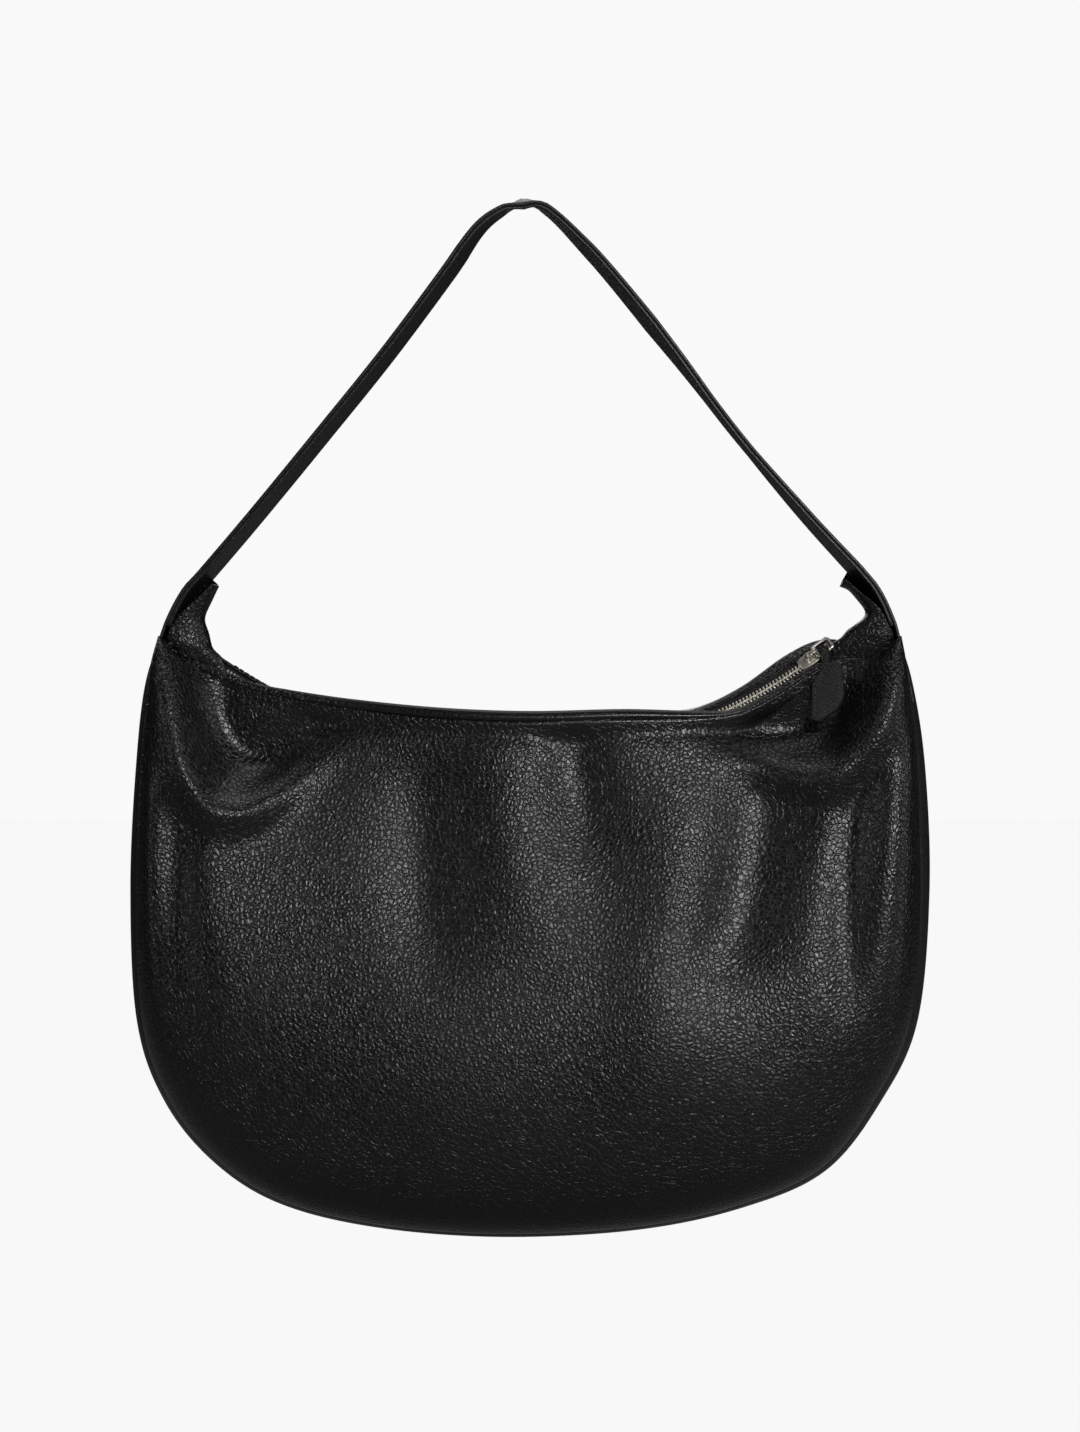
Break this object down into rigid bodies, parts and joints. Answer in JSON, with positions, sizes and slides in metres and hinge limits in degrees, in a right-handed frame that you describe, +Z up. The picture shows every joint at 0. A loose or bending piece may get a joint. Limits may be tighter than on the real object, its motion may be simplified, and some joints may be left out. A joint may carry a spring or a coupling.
{
  "type": "hobo bag",
  "caption": "Soft crescent shoulder bag in pebbled leather: one narrow strap, a curved zip across the mouth, and a leather zip pull.",
  "frame": {"origin": "on the underside of the strap's top, midway along its flat, where the bag hangs from a hook or a shoulder", "axes": "+Z up with the bag hanging, +X to the right seen from the front, the front panel faces -Y"},
  "size_m": [0.4154, 0.1114, 0.5389],
  "materials": {
    "pebbled_leather": "pebbled grain, semi-gloss black",
    "smooth_leather": "lightly grained, semi-gloss black with painted edges",
    "lining_cloth": "matt woven cotton",
    "reinforcing_tape": "matt woven tape",
    "zip_tape": "matt woven tape",
    "zip_metal": "polished warm nickel"
  },
  "bodies": {
    "strap": {"strap_outer": "pebbled_leather", "strap_core": "reinforcing_tape", "strap_underside": "pebbled_leather"},
    "bag": {"front_panel": "pebbled_leather", "back_panel": "pebbled_leather", "gusset_band": "pebbled_leather", "front_facing": "smooth_leather", "back_facing": "smooth_leather", "front_lining": "lining_cloth", "back_lining": "lining_cloth", "gusset_lining": "lining_cloth", "strap_anchor_left": "reinforcing_tape", "strap_anchor_right": "reinforcing_tape", "end_tab_left": "smooth_leather", "end_tab_right": "smooth_leather", "zip_tape_front": "zip_tape", "zip_tape_back": "zip_tape", "zip_teeth_front": "zip_metal", "zip_teeth_back": "zip_metal", "zip_stop_left": "zip_metal", "zip_stop_right": "zip_metal"},
    "slider": {"slider_top": "zip_metal", "slider_base": "zip_metal", "slider_bridge": "zip_metal"},
    "pull_link": {"pull_link": "zip_metal"},
    "pull_tab": {"pull_tab_front": "smooth_leather", "pull_tab_back": "smooth_leather"}
  },
  "joints": [
    {"name": "bag_swing", "type": "hinge", "parent": "strap", "child": "bag", "pos_m": [0, 0, -0.2205], "axis": [1, 0, 0], "range_deg": [-50, 50]},
    {"name": "zip_travel", "type": "hinge", "parent": "bag", "child": "slider", "pos_m": [-0.0107, 0, -0.0233], "axis": [0, 1, 0], "range_deg": [0, 68], "deforming": ["front_facing", "back_facing", "pull_tab_front", "pull_tab_back"]},
    {"name": "link_flip", "type": "hinge", "parent": "slider", "child": "pull_link", "pos_m": [0.14755, -0.00552, -0.23198], "axis": [0.5227, -0.4695, -0.7116], "range_deg": [0, 150]},
    {"name": "tab_swing", "type": "hinge", "parent": "pull_link", "child": "pull_tab", "pos_m": [0.15331, -0.00707, -0.23136], "axis": [-0.8059, 0, -0.592], "range_deg": [0, 100]}
  ]
}
